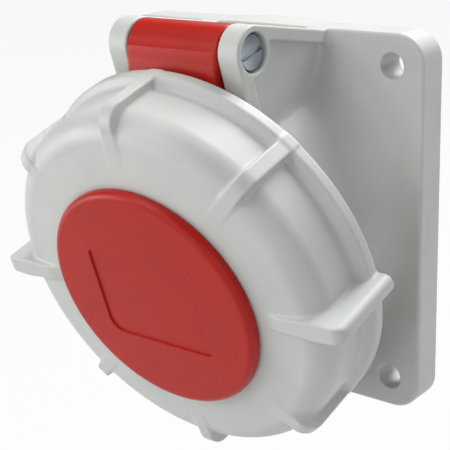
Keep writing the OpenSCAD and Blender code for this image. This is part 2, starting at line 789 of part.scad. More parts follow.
module ring_cavity() {
    translate([0, ring_rear - 1]) square([ring_bore_r - ring_inner_fillet, ring_inside - ring_rear + 1]);
    translate([0, ring_rear - 1]) square([ring_bore_r, ring_inside - ring_inner_fillet - ring_rear + 1]);
    translate([ring_bore_r - ring_inner_fillet, ring_inside - ring_inner_fillet]) circle(ring_inner_fillet);
    square([ring_opening_r, ring_face + 1]);
}

module ring_shell() on_neck() rotate([0, 0, grip_turn]) difference() {
    union() {
        rotate_extrude() ring_outside();
        for (a = [45:45:315]) if (a % 180 != 0) rotate([0, 0, a]) rib();
        for (a = [0, 180]) rotate([0, 0, a]) wing();
    }
    rotate_extrude() ring_cavity();
}

// everything of the ring behind the plane where its front rounding starts
module ring_rear_half() {
    on_neck() cylinder(r = wing_reach + 1, h = ring_split);
}

module locking_ring() color(light_grey) intersection() {
    ring_shell();
    ring_rear_half();
}

module ring_face() color(light_grey) difference() {
    ring_shell();
    ring_rear_half();
}

module ring_lugs() color(light_grey) on_neck() for (i = [0:lug_count - 1])
    tube_sector(ring_bore_r, ring_lug_r, ring_rear, ring_rear + ring_lug_len,
                neck_lug_at + lock_turn + i * 360 / lug_count, lug_half_angle);

housing();
flange();
hinge_ears();
neck_lugs();
flange_gasket();
base_plate();
base_seal();
base_screws();
contact_blocks();
pilot_block();
insert_face();
insert_clip();
contact_l1();
contact_l2();
contact_l3();
contact_neutral();
contact_earth();
contact_pilot();
terminal_screws();
hinge_screw();
hinge_nut();
hinge_spring();
lid();
lid_seal();
cap_disc();
cap_screws();
locking_ring();
ring_face();
ring_lugs();
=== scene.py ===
import math

import bpy
import numpy as np
from mathutils import Matrix, Vector


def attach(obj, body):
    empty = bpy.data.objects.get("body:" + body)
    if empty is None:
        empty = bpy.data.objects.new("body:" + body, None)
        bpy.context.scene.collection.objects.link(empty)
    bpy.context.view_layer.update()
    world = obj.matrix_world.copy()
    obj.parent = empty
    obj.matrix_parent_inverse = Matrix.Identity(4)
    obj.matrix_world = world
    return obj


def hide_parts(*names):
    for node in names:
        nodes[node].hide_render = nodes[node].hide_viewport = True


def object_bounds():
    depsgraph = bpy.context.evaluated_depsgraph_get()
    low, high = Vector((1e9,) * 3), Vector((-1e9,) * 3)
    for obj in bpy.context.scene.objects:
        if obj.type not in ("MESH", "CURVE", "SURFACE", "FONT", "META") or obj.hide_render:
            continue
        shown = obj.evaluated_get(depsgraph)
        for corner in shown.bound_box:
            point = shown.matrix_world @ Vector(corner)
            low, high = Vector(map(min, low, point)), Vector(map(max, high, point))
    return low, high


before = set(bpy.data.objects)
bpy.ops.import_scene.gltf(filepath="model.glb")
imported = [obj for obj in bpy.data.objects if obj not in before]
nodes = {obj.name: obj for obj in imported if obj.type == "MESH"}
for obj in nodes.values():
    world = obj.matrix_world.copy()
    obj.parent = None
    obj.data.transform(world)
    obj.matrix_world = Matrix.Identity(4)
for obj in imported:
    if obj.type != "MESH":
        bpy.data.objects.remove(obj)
cadLow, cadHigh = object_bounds()
print("frame loaded:", len(nodes), "nodes")

mm = 0.001

cameraSetup = {
    "place": (212.43, -295.56, 106.98),  # millimetres from the middle of the flange's rear face
    "azimuth": 39.08,
    "elevation": 17.86,
    "roll": -2.12,
    "lens": 93.93,
    "shift": (0.0082, 0.0074),
}


def makeCamera(setup):
    azimuth, elevation, roll = (math.radians(setup[k]) for k in ("azimuth", "elevation", "roll"))
    back = Vector((math.sin(azimuth) * math.cos(elevation), -math.cos(azimuth) * math.cos(elevation),
                   math.sin(elevation)))
    level = (-back).cross(Vector((0, 0, 1))).normalized()
    upright = level.cross(-back)
    right = math.cos(roll) * level + math.sin(roll) * upright
    up = -math.sin(roll) * level + math.cos(roll) * upright
    data = bpy.data.cameras.new("camera")
    data.sensor_width = 36
    data.lens = setup["lens"]
    data.shift_x, data.shift_y = setup["shift"]
    data.clip_start, data.clip_end = 0.01, 10
    camera = bpy.data.objects.new("camera", data)
    turn = Matrix((right, up, back)).transposed().to_4x4()
    camera.matrix_world = Matrix.Translation(Vector(setup["place"]) * mm) @ turn
    bpy.context.scene.collection.objects.link(camera)
    bpy.context.scene.camera = camera


makeCamera(cameraSetup)
print("camera made")


# short names for adding nodes to one material
class Shader:
    def __init__(self, name):
        self.material = bpy.data.materials.new(name)
        self.material.use_nodes = True
        self.tree = self.material.node_tree
        self.bsdf = self.tree.nodes["Principled BSDF"]
        self.coords = self.tree.nodes.new("ShaderNodeTexCoord").outputs["Object"]

    def add(self, kind, inputs=None, **settings):
        node = self.tree.nodes.new(kind)
        for key, value in settings.items():
            setattr(node, key, value)
        for key, value in (inputs or {}).items():
            if isinstance(value, bpy.types.NodeSocket):
                self.tree.links.new(value, node.inputs[key])
            else:
                node.inputs[key].default_value = value
        return node

    def noise(self, scale, detail=2.0, roughness=0.5, vector=None):
        node = self.add("ShaderNodeTexNoise", {"Vector": vector or self.coords, "Scale": scale,
                                               "Detail": detail, "Roughness": roughness})
        return node.outputs["Fac"]

    def spread(self, value, low, high, start=0.3, end=0.7):
        node = self.add("ShaderNodeMapRange", {"Value": value, "From Min": start, "From Max": end,
                                               "To Min": low, "To Max": high})
        return node.outputs["Result"]

    def mixColour(self, factor, first, second):
        node = self.add("ShaderNodeMix", data_type="RGBA")
        self.tree.links.new(factor, node.inputs["Factor"])
        for socket, value in ((node.inputs[6], first), (node.inputs[7], second)):
            if isinstance(value, bpy.types.NodeSocket):
                self.tree.links.new(value, socket)
            else:
                socket.default_value = value
        return node.outputs[2]

    def link(self, value, socket):
        self.tree.links.new(value, self.bsdf.inputs[socket])


plastics = {
    "grey": {"light": (0.60, 0.62, 0.595), "dark": (0.555, 0.575, 0.55),
             "roughness": (0.36, 0.46), "specular": 0.5},
    "red": {"light": (0.465, 0.009, 0.002), "dark": (0.415, 0.008, 0.002),
            "roughness": (0.34, 0.44), "specular": 0.3},
    "insert": {"light": (0.060, 0.063, 0.068), "dark": (0.045, 0.047, 0.052),
               "roughness": (0.40, 0.50), "specular": 0.4},
}


# a faint cloud in the colour, with the fine spark-eroded grain of the mould
def mouldedPlastic(name, look):
    shader = Shader(name)
    shader.bsdf.inputs["Specular IOR Level"].default_value = look["specular"]
    cloud = shader.spread(shader.noise(55, 3), 0, 1)
    shader.link(shader.mixColour(cloud, (*look["light"], 1), (*look["dark"], 1)), "Base Color")
    shader.link(shader.spread(shader.noise(700, 2), *look["roughness"]), "Roughness")
    grain = shader.noise(2600, 3, 0.6)
    bump = shader.add("ShaderNodeBump", {"Height": grain, "Strength": 0.25, "Distance": 0.00003})
    shader.link(bump.outputs["Normal"], "Normal")
    return shader.material


rubbers = {"black": {"clean": (0.018, 0.018, 0.019), "dusty": (0.045, 0.045, 0.046), "roughness": (0.6, 0.8)}}


def rubber(name, look):
    shader = Shader(name)
    dust = shader.spread(shader.noise(240, 4), 0, 1, 0.45, 0.8)
    shader.link(shader.mixColour(dust, (*look["clean"], 1), (*look["dusty"], 1)), "Base Color")
    shader.link(shader.spread(shader.noise(900), *look["roughness"]), "Roughness")
    pores = shader.noise(1500, 3)
    bump = shader.add("ShaderNodeBump", {"Height": pores, "Strength": 0.3, "Distance": 0.00005})
    shader.link(bump.outputs["Normal"], "Normal")
    return shader.material


metals = {
    "zinc": {"light": (0.44, 0.48, 0.52), "dark": (0.34, 0.38, 0.42), "roughness": (0.28, 0.42),
             "stretch": (260, 2600, 2600)},
    "brass": {"light": (0.78, 0.57, 0.25), "dark": (0.66, 0.46, 0.18), "roughness": (0.22, 0.36),
              "stretch": (2400, 2400, 700)},
}


# stretch squeezes the noise so that it reads as turning or drawing marks
def metal(name, look):
    shader = Shader(name)
    squeeze = shader.add("ShaderNodeMapping", {"Vector": shader.coords, "Scale": look["stretch"]})
    marks = shader.noise(1, 4, 0.6, squeeze.outputs["Vector"])
    worn = shader.spread(marks, 0, 1)
    shader.link(shader.mixColour(worn, (*look["light"], 1), (*look["dark"], 1)), "Base Color")
    shader.link(shader.spread(marks, *look["roughness"]), "Roughness")
    shader.bsdf.inputs["Metallic"].default_value = 1
    bump = shader.add("ShaderNodeBump", {"Height": marks, "Strength": 0.2, "Distance": 0.00003})
    shader.link(bump.outputs["Normal"], "Normal")
    return shader.material


greyPlastic = mouldedPlastic("grey moulded plastic", plastics["grey"])
redPlastic = mouldedPlastic("red moulded plastic", plastics["red"])
insertPlastic = mouldedPlastic("dark moulded plastic", plastics["insert"])
blackRubber = rubber("black rubber", rubbers["black"])
zincSteel = metal("zinc plated steel", metals["zinc"])
brass = metal("turned brass", metals["brass"])

finishes = {
    greyPlastic: ["housing", "flange", "hinge_ears", "neck_lugs", "locking_ring", "ring_face", "ring_lugs"],
    redPlastic: ["lid", "cap_disc"],
    insertPlastic: ["base_plate", "contact_blocks", "pilot_block", "insert_face"],
    blackRubber: ["flange_gasket", "base_seal", "lid_seal"],
    zincSteel: ["base_screws", "terminal_screws", "hinge_screw", "hinge_nut", "hinge_spring",
                "cap_screws", "insert_clip"],
    brass: ["contact_l1", "contact_l2", "contact_l3", "contact_neutral", "contact_earth", "contact_pilot"],
}
for material, names in finishes.items():
    for name in names:
        mesh = nodes[name].data
        mesh.materials.clear()
        mesh.materials.append(material)
print("materials made")

tilt = math.radians(17)
neckHeight = 6  # where the neck's axis leaves the rear face
hingePlace = (-46, 55)  # y and z of the hinge axis


# the neck's own frame: x across, u up its slope, s out along its axis
def intoNeck(y, z):
    return (-y * math.sin(tilt) + (z - neckHeight) * math.cos(tilt),
            -y * math.cos(tilt) - (z - neckHeight) * math.sin(tilt))


neckTurn = np.array([[1, 0, 0], [0, -math.sin(tilt), -math.cos(tilt)], [0, math.cos(tilt), -math.sin(tilt)]])
neckPlace = np.array([0, 0, neckHeight])


# a field is negative inside; these join, intersect and cut fields with edges of radius r
def joined(a, b, r):
    return np.maximum(r, np.minimum(a, b)) - np.hypot(np.maximum(r - a, 0), np.maximum(r - b, 0))


def common(a, b, r):
    return np.minimum(-r, np.maximum(a, b)) + np.hypot(np.maximum(r + a, 0), np.maximum(r + b, 0))


def cutFrom(a, b, r):
    return common(a, -b, r)


def roundedBox(x, y, halfX, halfY, r):
    left, up = np.abs(x) - halfX + r, np.abs(y) - halfY + r
    return np.minimum(np.maximum(left, up), 0) + np.hypot(np.maximum(left, 0), np.maximum(up, 0)) - r


# grid lines through neighbouring stretches, each given as (start, end, step)
def spaced(*stretches):
    lines = []
    for start, end, step in stretches:
        count = max(1, round((end - start) / step))
        lines.extend(start + (end - start) * k / count for k in range(count))
    return np.array(lines + [stretches[-1][1]])


def mirrored(*stretches):
    half = spaced(*stretches)
    return np.concatenate([-half[:0:-1], half])


mesher = {"reach": 0.02, "passes": 3, "flattest": 0.2, "longest": 0.4}


def slopeOf(field, points):
    reach = mesher["reach"]
    slope = np.empty_like(points)
    for axis in range(3):
        ahead, behind = points.copy(), points.copy()
        ahead[:, axis] += reach
        behind[:, axis] -= reach
        slope[:, axis] = (field(*ahead.T) - field(*behind.T)) / (2 * reach)
    return slope


# one vertex in each grid cell that the surface crosses, drawn onto the surface
def surfacePoints(field, values, cells, lines):
    total, crossings = np.zeros((len(cells), 3)), np.zeros(len(cells))
    for axis in range(3):
        others = [k for k in range(3) if k != axis]
        for a, b in ((0, 0), (0, 1), (1, 0), (1, 1)):
            first = cells.copy()
            first[:, others[0]] += a
            first[:, others[1]] += b
            second = first.copy()
            second[:, axis] += 1
            start, end = values[tuple(first.T)], values[tuple(second.T)]
            crossed = (start < 0) != (end < 0)
            share = start / np.where(crossed, start - end, 1)
            for k in range(3):
                place = lines[k][first[:, k]]
                if k == axis:
                    place = place + share * (lines[k][second[:, k]] - place)
                total[:, k] += np.where(crossed, place, 0)
            crossings += crossed
    points = total / crossings[:, None]
    for _ in range(mesher["passes"]):
        slope = slopeOf(field, points)
        steep = np.maximum((slope ** 2).sum(axis=1), mesher["flattest"])
        step = np.clip(field(*points.T) / steep, -mesher["longest"], mesher["longest"])
        points -= step[:, None] * slope
    return points


# a quad round every grid edge that the surface crosses, facing outwards
def surfaceQuads(inside, number):
    quads = []
    for axis in range(3):
        b, c = (axis + 1) % 3, (axis + 2) % 3
        near, far = [slice(1, -1)] * 3, [slice(1, -1)] * 3
        near[axis], far[axis] = slice(0, -1), slice(1, None)
        here, there = inside[tuple(near)], inside[tuple(far)]
        spots = np.argwhere(here != there)
        outward = here[tuple(spots.T)]
        spots[:, b] += 1
        spots[:, c] += 1
        loop = np.empty((len(spots), 4), int)
        for k, (db, dc) in enumerate(((1, 1), (0, 1), (0, 0), (1, 0))):
            cell = spots.copy()
            cell[:, b] -= db
            cell[:, c] -= dc
            loop[:, k] = number[tuple(cell.T)]
        loop[~outward] = loop[~outward][:, ::-1]
        quads.append(loop)
    return np.concatenate(quads)


# a closed mesh of the field, with the field's own normals; the neck's pieces are drawn in its frame
def meshField(name, field, lines, material, onNeck=False):
    values = field(*np.meshgrid(*lines, indexing="ij"))
    inside = values < 0
    sizes = [n - 1 for n in values.shape]
    filled = np.zeros(sizes, np.int8)
    for i in (0, 1):
        for j in (0, 1):
            for k in (0, 1):
                filled += inside[i:i + sizes[0], j:j + sizes[1], k:k + sizes[2]]
    cells = np.argwhere((filled > 0) & (filled < 8))
    number = np.full(sizes, -1)
    number[tuple(cells.T)] = np.arange(len(cells))
    points = surfacePoints(field, values, cells, lines)
    slope = slopeOf(field, points)
    normals = slope / np.maximum(np.linalg.norm(slope, axis=1, keepdims=True), 1e-6)
    if onNeck:
        points, normals = points @ neckTurn.T + neckPlace, normals @ neckTurn.T
    mesh = bpy.data.meshes.new(name)
    mesh.from_pydata((points * mm).tolist(), [], surfaceQuads(inside, number).tolist())
    mesh.polygons.foreach_set("use_smooth", np.ones(len(mesh.polygons), bool))
    mesh.normals_split_custom_set_from_vertices(normals.tolist())
    mesh.materials.append(material)
    piece = bpy.data.objects.new(name, mesh)
    bpy.context.scene.collection.objects.link(piece)
    print(name, "meshed:", len(mesh.polygons), "faces")
    return piece


ringLook = {
    "rear": 41.5, "rim": (59, 3.7, 2), "body": 56, "edge": 8, "front": 66.2,
    "rise": (1.1, 37), "bore": (53.2, 63.5, 2.0), "mouth": 33.8,
    "grip": math.radians(2), "count": 8,
    "rib": {"half": 2.35, "reach": 59, "corner": 5.9, "foot": 1.0, "edge": 0.6},
    "wing": {"half": 2.5, "reach": 63.8, "front": 68, "corner": 4, "swell": (0.5, 54, 6),
             "runOut": (39, 66.7, 0.6, 2), "foot": 1.0, "edge": 0.6},
    "blend": {"rim": 0.9, "rimEdge": 0.5, "rear": 0.5, "mouth": 0.4}, "sink": 0.2,
}


# the rounded body with its bevelled rim, six ribs and two wings, hollow behind the front
def ringField(x, u, s):
    look, rib, wing, blend = ringLook, ringLook["rib"], ringLook["wing"], ringLook["blend"]
    r = np.hypot(x, u)
    flat = look["body"] - look["edge"]
    rise = look["rise"][0] * np.clip((flat - r) / (flat - look["rise"][1]), 0, 1)
    solid = common(r - look["body"], s - look["front"] - rise, look["edge"])
    rimR, band, bevel = look["rim"]
    drop = rimR - look["body"] + look["sink"]
    slant = ((r - rimR) * bevel + (s - look["rear"] - band) * drop) / math.hypot(bevel, drop)
    solid = joined(solid, common(r - rimR, slant, blend["rimEdge"]), blend["rim"])

    step = 2 * math.pi / look["count"]
    turn = np.arctan2(u, x) - look["grip"]
    part = np.round(turn / step)
    out, side = r * np.cos(turn - part * step), np.abs(r * np.sin(turn - part * step))
    bar = common(out - rib["reach"], s - look["front"], rib["corner"])
    bar = common(side - rib["half"], bar, rib["edge"])
    swell, swellAt, swellWidth = wing["swell"]
    half = wing["half"] + swell * np.exp(-((out - swellAt) / swellWidth) ** 2)
    plan = common(out - wing["reach"], s - wing["front"], wing["corner"])
    runR, runS, runSlope, runEdge = wing["runOut"]
    plan = common(plan, (s - runS - (out - runR) * runSlope) / math.hypot(1, runSlope), runEdge)
    nose = np.hypot(np.maximum(out - wing["reach"] + wing["half"], 0), side) - half
    blade = common(nose, plan, wing["edge"])
    isWing = part % (look["count"] / 2) == 0
    solid = joined(solid, np.where(isWing, blade, bar), np.where(isWing, wing["foot"], rib["foot"]))
    solid = common(solid, look["rear"] - s, blend["rear"])
    boreR, boreFront, boreEdge = look["bore"]
    hollow = np.minimum(common(r - boreR, s - boreFront, boreEdge), r - look["mouth"])
    return cutFrom(solid, hollow, blend["mouth"])


ringLines = (
    mirrored((0, 45, 0.85), (45, 60, 0.62), (60, 64.4, 0.5)),
    mirrored((0, 40, 0.8), (40, 59.8, 0.6)),
    spaced((41, 68.4, 0.58)),
)
ringPiece = meshField("ringShell", ringField, ringLines, greyPlastic, onNeck=True)
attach(ringPiece, "ring")
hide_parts("locking_ring", "ring_face")

housingLook = {
    "plate": (55, 57, 8.5, 11, 1.0), "wall": 4, "holes": (45, 47.5, 3.7, 7.5, 0.35), "groove": (2, 1, 2),
    "neck": (42, 38.5, 56, 0.9, 0.7), "flare": 12,
    "ear": {"in": 16.5, "out": 23.5, "nose": 7.5, "topRear": (11, 56.5), "edge": 0.6, "foot": 1.6,
            "sunk": 9, "lowest": 30},
    "pocket": {"depth": 2.5, "topRib": 4, "frontRib": 5, "boss": 7.2, "corner": 3,
               "bossEdge": 0.6, "floor": 0.8, "edge": 0.5},
    "pin": 3.08, "seat": (5.6, 18.7, 0.3), "blend": {"hollow": 0.5, "hollowEdge": 0.3, "rear": 0.3},
}


# the two ears: a round nose where their top and front edges meet, hollowed on the outer side
def earField(x, y, z, u, hinge):
    ear, pocket = housingLook["ear"], housingLook["pocket"]
    ahead, topRear = -hingePlace[0], ear["topRear"]
    reach = math.hypot(ahead - topRear[0], hingePlace[1] - topRear[1])
    lean = math.atan2(hingePlace[1] - topRear[1], ahead - topRear[0]) + math.asin(ear["nose"] / reach)
    top = (z - topRear[1]) * math.cos(lean) - (-y - topRear[0]) * math.sin(lean)
    forward, up = -y - ahead, z - hingePlace[1]
    front = forward * math.cos(tilt) - up * math.sin(tilt) - ear["nose"]
    pastTop = up * math.sin(lean) + forward * math.cos(lean) > 0
    pastFront = up * math.cos(tilt) + forward * math.sin(tilt) > 0
    wedge = np.where(pastTop & pastFront, hinge - ear["nose"], np.maximum(top, front))
    across = np.abs(x)
    middle = (ear["in"] + ear["out"]) / 2
    solid = common(wedge, np.abs(across - middle) - (ear["out"] - middle), ear["edge"])
    hollow = common(common(top + pocket["topRib"], front + pocket["frontRib"], pocket["corner"]),
                    pocket["boss"] - hinge, pocket["bossEdge"])
    hollow = common(hollow, ear["out"] - pocket["depth"] - across, pocket["floor"])
    solid = cutFrom(solid, hollow, pocket["edge"])
    return np.maximum(np.maximum(solid, y + ear["sunk"]), ear["lowest"] - u)


# the hollow flange with its holes, the neck that flares into it, and the ears
def housingField(x, y, z):
    look, blend = housingLook, housingLook["blend"]
    u, s = intoNeck(y, z)
    r = np.hypot(x, u)
    hinge = np.hypot(y - hingePlace[0], z - hingePlace[1])
    halfX, halfZ, corner, depth, edge = look["plate"]
    plan = roundedBox(x, z, halfX, halfZ, corner)
    neckR, boreR, front, lip, boreLip = look["neck"]
    solid = joined(common(plan, -y - depth, edge), common(r - neckR, s - front, lip), look["flare"])
    solid = joined(solid, earField(x, y, z, u, hinge), look["ear"]["foot"])
    solid = common(solid, boreR - r, boreLip)
    solid = np.maximum(solid, look["pin"] - hinge)
    seatR, seatIn, seatEdge = look["seat"]
    solid = cutFrom(solid, np.maximum(hinge - seatR, seatIn - np.abs(x)), seatEdge)
    holeX, holeZ, holeR, bossR, holeEdge = look["holes"]
    hole = np.hypot(np.abs(x) - holeX, np.abs(z) - holeZ)
    solid = cutFrom(solid, hole - holeR, holeEdge)
    hollow = common(plan + look["wall"], -y - depth + look["wall"], blend["hollow"])
    hollow = common(hollow, bossR - hole, blend["hollow"])
    solid = cutFrom(solid, hollow, blend["hollowEdge"])
    middle, halfWidth, grooveDepth = look["groove"]
    solid = np.maximum(solid, -np.maximum(np.abs(plan + middle) - halfWidth, -y - grooveDepth))
    return common(solid, y, blend["rear"])


housingLines = (
    mirrored((0, 15, 1.25), (15, 25, 0.5), (25, 40.5, 1.2), (40.5, 49.5, 0.7), (49.5, 53, 0.8),
             (53, 55.6, 0.43)),
    spaced((-66.6, -54, 1.0), (-54, -36, 0.6), (-36, -12.6, 0.95), (-12.6, -9.8, 0.4), (-9.8, 0.5, 1.0)),
    spaced((-57.6, -54.6, 0.43), (-54.6, -52, 0.7), (-52, -43, 0.7), (-43, 25, 1.2), (25, 43, 0.9),
           (43, 52, 0.65), (52, 63.6, 0.48)),
)
housingPiece = meshField("housingShell", housingField, housingLines, greyPlastic)
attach(housingPiece, "root")
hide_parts("housing", "flange", "hinge_ears")

lidLook = {
    "disc": (52.4, 60.0, 63.2, 1.0), "collar": (31.85, 1.65, 67.0), "sealWalls": (43.4, 37.0, 0.9, 57.6),
    "strap": (51.25, 1.05, 15.9, 38.5), "barrel": (7.3, 16.1), "pin": 3.08, "spring": (6.25, 13.2),
    "holes": (20, 1.7), "root": ((28.7, 53.7), (34.0, 53.5), (37.7, 46.2), (40.3, 46.2), (40.3, 52.4),
                                 (39.6, 55.3), (36.8, 63.0), (29.7, 65.2)),
    "blend": {"edge": 0.5, "collar": 0.6, "wallEdge": 0.35, "wall": 0.4, "strap": 0.8, "barrel": 1.2,
              "root": 0.5},
}


# distance to a convex or hollow outline given by its corners
def outlineField(x, y, corners):
    nearest, inside = np.full(np.shape(x), 1e9), np.zeros(np.shape(x), bool)
    for k, (x1, y1) in enumerate(corners):
        x0, y0 = corners[k - 1]
        wide, high = x1 - x0, y1 - y0
        along = np.clip(((x - x0) * wide + (y - y0) * high) / (wide ** 2 + high ** 2), 0, 1)
        nearest = np.minimum(nearest, np.hypot(x - x0 - along * wide, y - y0 - along * high))
        if y0 != y1:
            inside ^= ((y0 > y) != (y1 > y)) & (x < x0 + (y - y0) * (x1 - x0) / (y1 - y0))
    return np.where(inside, -nearest, nearest)


# the disc inside the ring, with its collar, the seal's walls, the strap and the hinge barrel
def lidField(x, u, s):
    look, blend = lidLook, lidLook["blend"]
    r = np.hypot(x, u)
    hingeU, hingeS = intoNeck(*hingePlace)
    hinge = np.hypot(u - hingeU, s - hingeS)
    discR, discRear, discFront, discEdge = look["disc"]
    middle, half = (discRear + discFront) / 2, (discFront - discRear) / 2
    solid = common(r - discR, np.abs(s - middle) - half, discEdge)
    collarR, collarHalf, collarFront = look["collar"]
    collar = common(np.abs(r - collarR) - collarHalf, s - collarFront, blend["edge"])
    solid = joined(solid, np.maximum(collar, middle - s), blend["collar"])
    outerWall, innerWall, wallHalf, wallRear = look["sealWalls"]
    for wallR in (outerWall, innerWall):
        wall = common(np.abs(r - wallR) - wallHalf, wallRear - s, blend["wallEdge"])
        solid = joined(solid, np.maximum(wall, s - middle), blend["wall"])
    strapR, strapHalf, strapWide, strapRear = look["strap"]
    strap = common(np.abs(r - strapR) - strapHalf, np.abs(x) - strapWide, blend["edge"])
    strap = np.maximum(np.maximum(strap, np.maximum(strapRear - s, s - middle)), -u)
    root = common(outlineField(s, u, look["root"]), np.abs(x) - strapWide, blend["edge"])
    barrelR, barrelHalf = look["barrel"]
    barrel = common(hinge - barrelR, np.abs(x) - barrelHalf, blend["edge"])
    root = joined(root, barrel, blend["barrel"])
    solid = joined(joined(solid, strap, blend["strap"]), root, blend["root"])
    solid = np.maximum(solid, look["pin"] - hinge)
    springR, springEnd = look["spring"]
    solid = np.maximum(solid, -np.maximum(hinge - springR, x - springEnd))
    circle, holeR = look["holes"]
    place = circle / math.sqrt(2)
    return np.maximum(solid, holeR - np.hypot(np.abs(x) - place, np.abs(u) - place))


lidLines = (
    mirrored((0, 45, 0.95), (45, 53, 0.7)),
    spaced((-53, -45, 0.7), (-45, 44, 0.95), (44, 68, 0.5)),
    spaced((22, 41, 0.5), (41, 57, 1.0), (57, 67.4, 0.42)),
)
lidPiece = meshField("lidShell", lidField, lidLines, redPlastic, onNeck=True)
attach(lidPiece, "lid")
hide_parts("lid")

capLook = {
    "disc": (36, 67.55, 70.75, 2.3), "bosses": (20, 3.6, 63.2, 1.5),
    "label": (19, 14.5, 5, 1.5, 0.6, 0.25),
    "blend": {"rear": 0.3, "boss": 0.5, "bossEdge": 0.3}, "sink": 1,
}


# the round disc with its label place, and four screw bosses behind it
def capField(x, u, s):
    look, blend, sink = capLook, capLook["blend"], capLook["sink"]
    discR, discRear, discFront, discEdge = look["disc"]
    solid = common(np.hypot(x, u) - discR, s - discFront, discEdge)
    solid = common(solid, discRear - s, blend["rear"])
    circle, bossR, bossRear, bossHole = look["bosses"]
    place = circle / math.sqrt(2)
    boss = np.hypot(np.abs(x) - place, np.abs(u) - place)
    post = np.maximum(common(boss - bossR, bossRear - s, blend["bossEdge"]), s - discRear - sink)
    solid = joined(solid, post, blend["boss"])
    solid = np.maximum(solid, -np.maximum(boss - bossHole, s - discRear - sink))
    halfX, halfU, bigCorner, smallCorner, deep, edge = look["label"]
    label = roundedBox(x, u, halfX, halfU, np.where(x * u > 0, bigCorner, smallCorner))
    return cutFrom(solid, np.maximum(label, discFront - deep - s), edge)


capLines = (
    mirrored((0, 18, 0.9), (18, 20, 0.22), (20, 36.4, 0.7)),
    mirrored((0, 9, 0.9), (9, 13.6, 0.5), (13.6, 15.4, 0.2), (15.4, 36.4, 0.7)),
    spaced((62.9, 67.2, 1.0), (67.2, 69.6, 0.5), (69.6, 71, 0.2)),
)
capPiece = meshField("capShell", capField, capLines, redPlastic, onNeck=True)
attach(capPiece, "lid")
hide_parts("cap_disc")
print("shells made")


